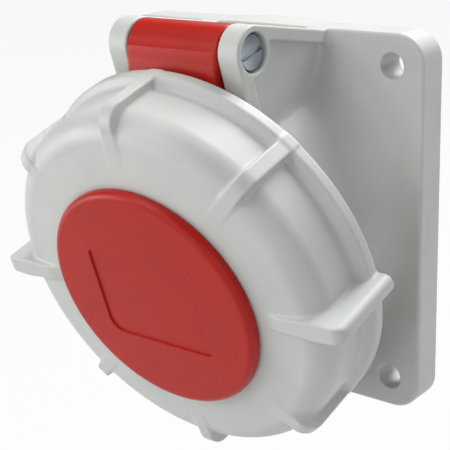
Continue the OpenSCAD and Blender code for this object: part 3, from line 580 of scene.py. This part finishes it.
# a Geometry Nodes tree with named inputs, and short calls that add its nodes
class Recipe:
    weld = 0.002 * mm  # vertices nearer than this become one

    def __init__(self, name, inputs):
        self.tree = bpy.data.node_groups.new(name, "GeometryNodeTree")
        sockets = self.tree.interface
        sockets.new_socket("Geometry", in_out="INPUT", socket_type="NodeSocketGeometry")
        sockets.new_socket("Geometry", in_out="OUTPUT", socket_type="NodeSocketGeometry")
        kinds = {int: "NodeSocketInt", float: "NodeSocketFloat", bpy.types.Material: "NodeSocketMaterial"}
        self.keys = {key: sockets.new_socket(key, in_out="INPUT", socket_type=kinds[kind]).identifier
                     for key, kind in inputs.items()}
        self.given = self.tree.nodes.new("NodeGroupInput").outputs
        self.result = self.tree.nodes.new("NodeGroupOutput").inputs

    def add(self, kind, inputs=None, output=0, **settings):
        node = self.tree.nodes.new(kind)
        for key, value in settings.items():
            setattr(node, key, value)
        for key, value in (inputs or {}).items():
            if isinstance(value, bpy.types.NodeSocket):
                self.tree.links.new(value, node.inputs[key])
            else:
                node.inputs[key].default_value = value
        return node.outputs[output]

    def calc(self, operation, first, second=0.0):
        return self.add("ShaderNodeMath", {0: first, 1: second}, operation=operation)

    def vector(self, x=0.0, y=0.0, z=0.0):
        return self.add("ShaderNodeCombineXYZ", {"X": x, "Y": y, "Z": z})

    # a turned body about the z axis from (radius, height) pairs, the first and last on the axis
    def turned(self, rings, around, count=None, ripple=None):
        count = count or len(rings)
        across = self.calc("ADD", around, 1)
        grid = self.add("GeometryNodeMeshGrid", {"Vertices X": count, "Vertices Y": across})
        index = self.add("GeometryNodeInputIndex")
        ring = self.calc("FLOOR", self.calc("DIVIDE", self.calc("ADD", index, 0.5), across))
        column = self.calc("SUBTRACT", index, self.calc("MULTIPLY", ring, across))
        angle = self.calc("MULTIPLY", column, self.calc("DIVIDE", 2 * math.pi, around))
        radius, height = (self.choose(ring, [pair[k] for pair in rings]) for k in (0, 1))
        if ripple:
            radius, height = ripple(ring, angle, radius, height)
        place = self.vector(self.calc("MULTIPLY", radius, self.calc("COSINE", angle)),
                            self.calc("MULTIPLY", radius, self.calc("SINE", angle)), height)
        body = self.add("GeometryNodeSetPosition", {"Geometry": grid, "Position": place})
        return self.add("GeometryNodeMergeByDistance", {"Geometry": body, "Distance": self.weld})

    # the value that stands at the index
    def choose(self, index, values):
        node = self.tree.nodes.new("GeometryNodeIndexSwitch")
        node.data_type = "FLOAT"
        while len(node.index_switch_items) < len(values):
            node.index_switch_items.new()
        self.tree.links.new(index, node.inputs["Index"])
        for k, value in enumerate(values):
            if isinstance(value, bpy.types.NodeSocket):
                self.tree.links.new(value, node.inputs[k + 1])
            else:
                node.inputs[k + 1].default_value = value
        return node.outputs[0]

    def block(self, length, width, height, place, angle=0.0):
        cube = self.add("GeometryNodeMeshCube", {"Size": self.vector(length, width, height)})
        return self.add("GeometryNodeTransform", {"Geometry": cube, "Translation": place,
                                                  "Rotation": self.vector(z=angle)})

    def cut(self, body, tools):
        node = self.tree.nodes.new("GeometryNodeMeshBoolean")
        node.operation, node.solver = "DIFFERENCE", "EXACT"
        self.tree.links.new(body, node.inputs["Mesh 1"])
        for tool in tools:
            self.tree.links.new(tool, node.inputs["Mesh 2"])
        return node.outputs["Mesh"]

    # smooth faces, with the sharp edges kept
    def shaded(self, body, sharp=0.6):
        smooth = self.add("GeometryNodeSetShadeSmooth", {"Geometry": body, "Shade Smooth": True},
                          domain="FACE")
        bend = self.add("GeometryNodeInputMeshEdgeAngle", output="Unsigned Angle")
        crease = self.calc("GREATER_THAN", bend, sharp)
        return self.add("GeometryNodeSetShadeSmooth", {"Geometry": smooth, "Selection": crease,
                                                       "Shade Smooth": False}, domain="EDGE")

    # sets the body on every point, its z axis along the point's direction
    def finish(self, body, turn=0.0):
        way = self.add("GeometryNodeInputNamedAttribute", {"Name": "direction"}, data_type="FLOAT_VECTOR")
        stand = self.add("FunctionNodeAlignRotationToVector", {"Vector": way}, axis="Z")
        spin = self.add("FunctionNodeAxisAngleToRotation", {"Axis": (0, 0, 1), "Angle": turn})
        stand = self.add("FunctionNodeRotateRotation", {"Rotation": stand, "Rotate By": spin},
                         rotation_space="LOCAL")
        copies = self.add("GeometryNodeInstanceOnPoints", {"Points": self.given["Geometry"],
                                                           "Instance": body, "Rotation": stand})
        real = self.add("GeometryNodeRealizeInstances", {"Geometry": copies})
        made = self.add("GeometryNodeSetMaterial", {"Geometry": real, "Material": self.given["Material"]})
        self.tree.links.new(made, self.result["Geometry"])


# grows the recipe's body on each (place, direction) and keeps the result as a plain mesh
def growPiece(name, recipe, values, spots, body, replaced):
    mesh = bpy.data.meshes.new(name + " points")
    mesh.from_pydata([[c * mm for c in place] for place, way in spots], [], [])
    ways = mesh.attributes.new("direction", "FLOAT_VECTOR", "POINT")
    ways.data.foreach_set("vector", [c for place, way in spots for c in way])
    piece = bpy.data.objects.new(name, mesh)
    bpy.context.scene.collection.objects.link(piece)
    modifier = piece.modifiers.new("grow", "NODES")
    modifier.node_group = recipe.tree
    for key, value in values.items():
        modifier[recipe.keys[key]] = value
    graph = bpy.context.evaluated_depsgraph_get()
    grown = bpy.data.meshes.new_from_object(piece.evaluated_get(graph), depsgraph=graph)
    piece.modifiers.clear()
    piece.data = grown
    grown.name = name
    grown.materials.clear()
    grown.materials.append(values["Material"])
    grown.polygons.foreach_set("material_index", [0] * len(grown.polygons))
    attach(piece, body)
    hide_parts(*replaced)


# a screw: its head above the points, a chamfer round it, a slot or a cross, and a thread on the shank
def screwRecipe():
    recipe = Recipe("screw", {
        "Head Radius": float, "Head Height": float, "Chamfer": float, "Shank Radius": float, "Length": float,
        "Plain Length": float, "Pitch": float, "Thread Depth": float, "Rings Per Turn": int, "Sides": int,
        "Slot Length": float, "Slot Width": float, "Slot Depth": float, "Cross": int,
        "Turn": float, "Turn Spread": float, "Seed": int, "Material": bpy.types.Material})
    given, calc = recipe.given, recipe.calc
    head, high, chamfer, shank = (given[k] for k in ("Head Radius", "Head Height", "Chamfer", "Shank Radius"))
    soft = calc("MULTIPLY", chamfer, 0.3)
    rings = [(0.0, high), (calc("SUBTRACT", head, chamfer), high),
             (calc("SUBTRACT", head, soft), calc("SUBTRACT", high, soft)),
             (head, calc("SUBTRACT", high, chamfer)), (head, 0.0), (shank, 0.0)]
    first = len(rings) - 1
    tip = calc("SUBTRACT", 0.0, given["Length"])
    threaded = calc("SUBTRACT", given["Length"], given["Plain Length"])
    turns = calc("DIVIDE", threaded, given["Pitch"])
    count = calc("ROUND", calc("MULTIPLY", turns, given["Rings Per Turn"]))
    last = calc("ADD", count, first + 1)
    rings.append((shank, calc("SUBTRACT", 0.0, given["Plain Length"])))

    # the rings after the head's run down the thread, and the last one closes the tip
    def thread(ring, angle, radius, height):
        part = calc("DIVIDE", calc("SUBTRACT", ring, first + 1), count)
        down = calc("MULTIPLY", calc("MULTIPLY", part, threaded), -1)
        down = calc("SUBTRACT", down, given["Plain Length"])
        onThread = calc("GREATER_THAN", ring, first + 0.5)
        height = recipe.add("GeometryNodeSwitch", {"Switch": onThread, "False": height, "True": down},
                            input_type="FLOAT")
        around = calc("DIVIDE", angle, 2 * math.pi)
        wave = calc("FRACT", calc("ADD", calc("DIVIDE", height, given["Pitch"]), around))
        dip = calc("MULTIPLY", calc("ABSOLUTE", calc("SUBTRACT", wave, 0.5)), 2)
        fade = calc("MINIMUM", calc("MULTIPLY", part, 8), 1)
        depth = calc("MULTIPLY", calc("MULTIPLY", dip, given["Thread Depth"]), fade)
        taper = calc("MULTIPLY", given["Thread Depth"], 2)
        cone = calc("MAXIMUM", calc("SUBTRACT", taper, calc("SUBTRACT", height, tip)), 0.0)
        cutDown = calc("SUBTRACT", shank, calc("MAXIMUM", depth, cone))
        radius = recipe.add("GeometryNodeSwitch", {"Switch": onThread, "False": radius, "True": cutDown},
                            input_type="FLOAT")
        closing = calc("GREATER_THAN", ring, calc("ADD", last, -0.5))
        radius = recipe.add("GeometryNodeSwitch", {"Switch": closing, "False": radius, "True": 0.0},
                            input_type="FLOAT")
        height = recipe.add("GeometryNodeSwitch", {"Switch": closing, "False": height, "True": tip},
                            input_type="FLOAT")
        return radius, height

    body = recipe.turned(rings, given["Sides"], calc("ADD", last, 1), thread)
    deep = calc("MULTIPLY", given["Slot Depth"], 2)
    slot = recipe.block(given["Slot Length"], given["Slot Width"], deep, recipe.vector(z=high))
    across = recipe.block(given["Slot Length"], given["Slot Width"], calc("MULTIPLY", deep, 1.01),
                          recipe.vector(z=high), math.pi / 2)
    crossed = recipe.add("GeometryNodeSwitch", {"Switch": given["Cross"], "True": across},
                         input_type="GEOMETRY")
    body = recipe.shaded(recipe.cut(body, [slot, crossed]))
    spread = recipe.add("FunctionNodeRandomValue", {2: 0.0, 3: given["Turn Spread"], "Seed": given["Seed"]},
                        output=1, data_type="FLOAT")
    recipe.finish(body, calc("ADD", given["Turn"], spread))
    return recipe


# a pin sleeve: open bores at both ends, a chamfered mouth and two crossing slits behind it
def sleeveRecipe():
    recipe = Recipe("contact sleeve", {
        "Outer Radius": float, "Pin Radius": float, "Wire Radius": float, "Length": float,
        "Pin Depth": float, "Wire Depth": float, "Chamfer": float, "Lead In": float,
        "Slit Width": float, "Slit Length": float, "Sides": int, "Material": bpy.types.Material})
    given, calc = recipe.given, recipe.calc
    outer, pin, wire, length, chamfer, lead = (given[k] for k in (
        "Outer Radius", "Pin Radius", "Wire Radius", "Length", "Chamfer", "Lead In"))
    stop, inner = given["Wire Depth"], calc("SUBTRACT", length, given["Pin Depth"])
    rings = [(0.0, stop), (wire, stop), (wire, chamfer), (calc("ADD", wire, chamfer), 0.0),
             (calc("SUBTRACT", outer, chamfer), 0.0), (outer, chamfer),
             (outer, calc("SUBTRACT", length, chamfer)), (calc("SUBTRACT", outer, chamfer), length),
             (calc("ADD", pin, lead), length),
             (pin, calc("SUBTRACT", length, lead)), (pin, inner), (0.0, inner)]
    body = recipe.turned(rings, given["Sides"])
    # the second slit is a little longer, so that the cutters' faces don't coincide
    wide, tall = calc("MULTIPLY", outer, 3), calc("MULTIPLY", given["Slit Length"], 2)
    slits = [recipe.block(wide, given["Slit Width"], calc("MULTIPLY", tall, 1 + k / 100),
                          recipe.vector(z=length), k * math.pi / 2) for k in (0, 1)]
    recipe.finish(recipe.shaded(recipe.cut(body, slits)), math.pi / 4)
    return recipe


# a torsion spring's close coil of round wire
def springRecipe():
    recipe = Recipe("torsion spring", {
        "Coil Radius": float, "Wire Radius": float, "Length": float, "Turns": float,
        "Steps": int, "Wire Sides": int, "Material": bpy.types.Material})
    given = recipe.given
    coil = recipe.add("GeometryNodeCurveSpiral", {
        "Resolution": given["Steps"], "Rotations": given["Turns"], "Start Radius": given["Coil Radius"],
        "End Radius": given["Coil Radius"], "Height": given["Length"]})
    wire = recipe.add("GeometryNodeCurvePrimitiveCircle", {"Resolution": given["Wire Sides"],
                                                           "Radius": given["Wire Radius"]})
    body = recipe.add("GeometryNodeCurveToMesh", {"Curve": coil, "Profile Curve": wire, "Fill Caps": True})
    recipe.finish(recipe.shaded(body))
    return recipe


# a point and a direction given in the neck's own frame, turned into the world's
def onNeckSpot(place, way):
    point, axis = neckTurn @ np.array(place, float), neckTurn @ np.array(way, float)
    return tuple(point + neckPlace), tuple(axis)


# a spot round the neck's axis that faces away from it
def roundSpot(turn, outward, along):
    cos, sin = math.cos(turn), math.sin(turn)
    return onNeckSpot((outward * cos, outward * sin, along), (cos, sin, 0))


screw = screwRecipe()
screwLook = {"Rings Per Turn": 6, "Sides": 40, "Cross": 0, "Turn": 0.0, "Turn Spread": 0.0, "Seed": 7,
             "Material": zincSteel}
hingeScrewLook = {**screwLook, "Head Radius": 4.95 * mm, "Head Height": 4.1 * mm, "Chamfer": 0.7 * mm,
                  "Shank Radius": 3 * mm, "Length": 39.2 * mm, "Plain Length": 31 * mm, "Pitch": 1.0 * mm,
                  "Thread Depth": 0.35 * mm, "Slot Length": 12 * mm, "Slot Width": 1.5 * mm,
                  "Slot Depth": 1.1 * mm, "Turn": math.radians(-75), "Sides": 56}
baseScrewLook = {**screwLook, "Head Radius": 2.8 * mm, "Head Height": 1.6 * mm, "Chamfer": 0.7 * mm,
                 "Shank Radius": 1.5 * mm, "Length": 7.35 * mm, "Plain Length": 1 * mm, "Pitch": 0.9 * mm,
                 "Thread Depth": 0.3 * mm, "Slot Length": 3.2 * mm, "Slot Width": 0.8 * mm,
                 "Slot Depth": 1.1 * mm, "Cross": 1, "Turn Spread": 1.5}
capScrewLook = {**baseScrewLook, "Head Radius": 2.9 * mm, "Head Height": 1.5 * mm, "Length": 7.5 * mm,
                "Shank Radius": 1.48 * mm, "Seed": 11}
terminalScrewLook = {**screwLook, "Head Radius": 2.5 * mm, "Head Height": 0.6 * mm, "Chamfer": 0.3 * mm,
                     "Shank Radius": 2.5 * mm, "Plain Length": 0.3 * mm, "Pitch": 0.8 * mm,
                     "Thread Depth": 0.3 * mm, "Slot Length": 8 * mm, "Slot Width": 1 * mm,
                     "Slot Depth": 1 * mm, "Turn Spread": 2.5, "Seed": 3}
screwPlaces = {"hinge": 18.7, "base": (30.72, -3, (34.57, -26.86)), "cap": (14.142, 60),
               "terminal": (-13, 29.4, 20.6, 1.75)}

growPiece("hingeScrew", screw, hingeScrewLook, [((screwPlaces["hinge"], *hingePlace), (1, 0, 0))],
          "root", ["hinge_screw"])
baseX, baseY, baseZs = screwPlaces["base"]
growPiece("baseScrews", screw, baseScrewLook,
          [((side * baseX, baseY, z), (0, 1, 0)) for side in (-1, 1) for z in baseZs], "root",
          ["base_screws"])
capAt, capRear = screwPlaces["cap"]
growPiece("capScrews", screw, capScrewLook,
          [onNeckSpot((a * capAt, b * capAt, capRear), (0, 0, -1)) for a in (-1, 1) for b in (-1, 1)],
          "lid", ["cap_screws"])
along, outerEnd, tipRing, tipPilot = screwPlaces["terminal"]
contactNames = ("earth", "l1", "l2", "l3", "neutral")
contactTurns = {name: math.radians(-90 + 72 * k) for k, name in enumerate(contactNames)}
growPiece("terminalScrews", screw, {**terminalScrewLook, "Length": (outerEnd - tipRing) * mm},
          [roundSpot(turn, outerEnd, along) for turn in contactTurns.values()], "root",
          ["terminal_screws"])
growPiece("pilotScrew", screw, {**terminalScrewLook, "Length": (outerEnd - tipPilot) * mm},
          [roundSpot(math.pi / 2, outerEnd, along)], "root", ["terminal_screws"])

sleeve = sleeveRecipe()
sleeveLook = {"Length": 71.5 * mm, "Pin Depth": 41.5 * mm, "Wire Depth": 19 * mm, "Chamfer": 0.4 * mm,
              "Lead In": 0.7 * mm, "Slit Width": 0.7 * mm, "Slit Length": 18 * mm, "Sides": 48,
              "Material": brass}
# the last three are the pins' radii
contactPlaces = {"circle": 18, "rear": -20, "wall": 1.5, "wire": 3.4, "gap": 0.08,
                 "earth": 5, "phase": 4, "pilot": 2.5}


def growContacts(name, pin, places, replaced):
    given = contactPlaces
    values = {**sleeveLook, "Pin Radius": (pin + given["gap"]) * mm,
              "Outer Radius": (pin + given["wall"]) * mm, "Wire Radius": min(pin, given["wire"]) * mm}
    growPiece(name, sleeve, values, [onNeckSpot((x, u, given["rear"]), (0, 0, 1)) for x, u in places],
              "root", replaced)


def aroundCircle(*names):
    circle = contactPlaces["circle"]
    return [(circle * math.cos(contactTurns[name]), circle * math.sin(contactTurns[name])) for name in names]


growContacts("contactEarth", contactPlaces["earth"], aroundCircle("earth"), ["contact_earth"])
growContacts("contactPhases", contactPlaces["phase"], aroundCircle("l1", "l2", "l3", "neutral"),
             ["contact_l1", "contact_l2", "contact_l3", "contact_neutral"])
growContacts("contactPilot", contactPlaces["pilot"], [(0, 0)], ["contact_pilot"])

springLook = {"Coil Radius": 5.15 * mm, "Wire Radius": 0.55 * mm, "Length": 26.9 * mm, "Turns": 9.0,
              "Steps": 36, "Wire Sides": 12, "Material": zincSteel}
springStart = -15
growPiece("hingeSpring", springRecipe(), springLook, [((springStart, *hingePlace), (1, 0, 0))], "root",
          ["hinge_spring"])
print("screws, contacts and spring made")

studio = {
    "drop": 0.09,  # how far the floor lies below the part, in metres
    "reach": 6,
    "floorTones": (0.52, 0.50),
    "floorWhite": 0.93,  # the share of its own light that the floor shows, the rest is its shading
    "ambient": 0.14,
    "aim": (0, -0.03, 0),
    "distance": 0.9,
    "size": 0.5,
    "lamps": {  # name: (azimuth, elevation, power), azimuth 0 in front and positive to the right
        "rear right": (150, 40, 2.4),
        "rear left": (-150, 40, 0.9),
        "front left high": (-20, 35, 2.1),
        "front left": (-55, 4, 3.0),
        "front": (0, 5, 0.8),
        "left top": (-40, 62, 1.4),
        "top": (0, 88, 0.4),
        "rear high": (178, 55, 7.5),
        "right": (100, 20, 0.4),
        "front right": (52, 12, 1.0),
    },
}


def lookAt(obj, aim):
    obj.rotation_mode = "QUATERNION"
    obj.rotation_quaternion = (Vector(aim) - obj.location).to_track_quat("-Z", "Y")


# a white floor and surround that only the camera sees as white, with soft round lamps
def makeStudio(setup):
    scene = bpy.context.scene
    scene.view_settings.view_transform = "Standard"
    mesh = bpy.data.meshes.new("floor")
    z, reach = cadLow.z - setup["drop"], setup["reach"]
    corners = [(-reach, -reach, z), (reach, -reach, z), (reach, reach, z), (-reach, reach, z)]
    mesh.from_pydata(corners, [], [(0, 1, 2, 3)])
    floor = bpy.data.objects.new("floor", mesh)
    scene.collection.objects.link(floor)
    shader = Shader("pale floor")
    shader.bsdf.inputs["Roughness"].default_value = 0.9
    grain = shader.spread(shader.noise(8, 3), 0, 1)
    light, dark = ((tone, tone, tone, 1) for tone in setup["floorTones"])
    shader.link(shader.mixColour(grain, light, dark), "Base Color")
    tree = shader.tree
    path = tree.nodes.new("ShaderNodeLightPath")
    seen = shader.add("ShaderNodeMath", {0: path.outputs["Is Camera Ray"], 1: path.outputs["Is Glossy Ray"]},
                      operation="MAXIMUM")
    share = shader.add("ShaderNodeMath", {0: seen.outputs[0], 1: setup["floorWhite"]}, operation="MULTIPLY")
    white = shader.add("ShaderNodeEmission", {"Color": (1, 1, 1, 1), "Strength": 1.0})
    mix = shader.add("ShaderNodeMixShader", {"Fac": share.outputs[0], 1: shader.bsdf.outputs[0],
                                             2: white.outputs[0]})
    tree.links.new(mix.outputs[0], tree.nodes["Material Output"].inputs["Surface"])
    mesh.materials.append(shader.material)

    world = bpy.data.worlds.new("studio")
    scene.world = world
    world.use_nodes = True
    tree = world.node_tree
    tree.nodes.clear()
    path = tree.nodes.new("ShaderNodeLightPath")
    seen = tree.nodes.new("ShaderNodeMath")
    seen.operation = "MAXIMUM"
    tree.links.new(path.outputs["Is Camera Ray"], seen.inputs[0])
    tree.links.new(path.outputs["Is Transmission Ray"], seen.inputs[1])
    ambient, white = (tree.nodes.new("ShaderNodeBackground") for _ in range(2))
    ambient.inputs["Color"].default_value = (1, 1, 1, 1)
    ambient.inputs["Strength"].default_value = setup["ambient"]
    white.inputs["Color"].default_value = (1, 1, 1, 1)
    white.inputs["Strength"].default_value = 1
    mix = tree.nodes.new("ShaderNodeMixShader")
    output = tree.nodes.new("ShaderNodeOutputWorld")
    tree.links.new(seen.outputs[0], mix.inputs[0])
    tree.links.new(ambient.outputs[0], mix.inputs[1])
    tree.links.new(white.outputs[0], mix.inputs[2])
    tree.links.new(mix.outputs[0], output.inputs["Surface"])

    aim = Vector(setup["aim"])
    for name, (azimuth, elevation, power) in setup["lamps"].items():
        turn, rise = math.radians(azimuth), math.radians(elevation)
        away = Vector((math.sin(turn) * math.cos(rise), -math.cos(turn) * math.cos(rise), math.sin(rise)))
        data = bpy.data.lights.new(name, "AREA")
        data.shape = "DISK"
        data.size = setup["size"]
        data.energy = power
        lamp = bpy.data.objects.new(name, data)
        lamp.location = aim + away * setup["distance"]
        lookAt(lamp, aim)
        scene.collection.objects.link(lamp)


makeStudio(studio)
print("studio made")
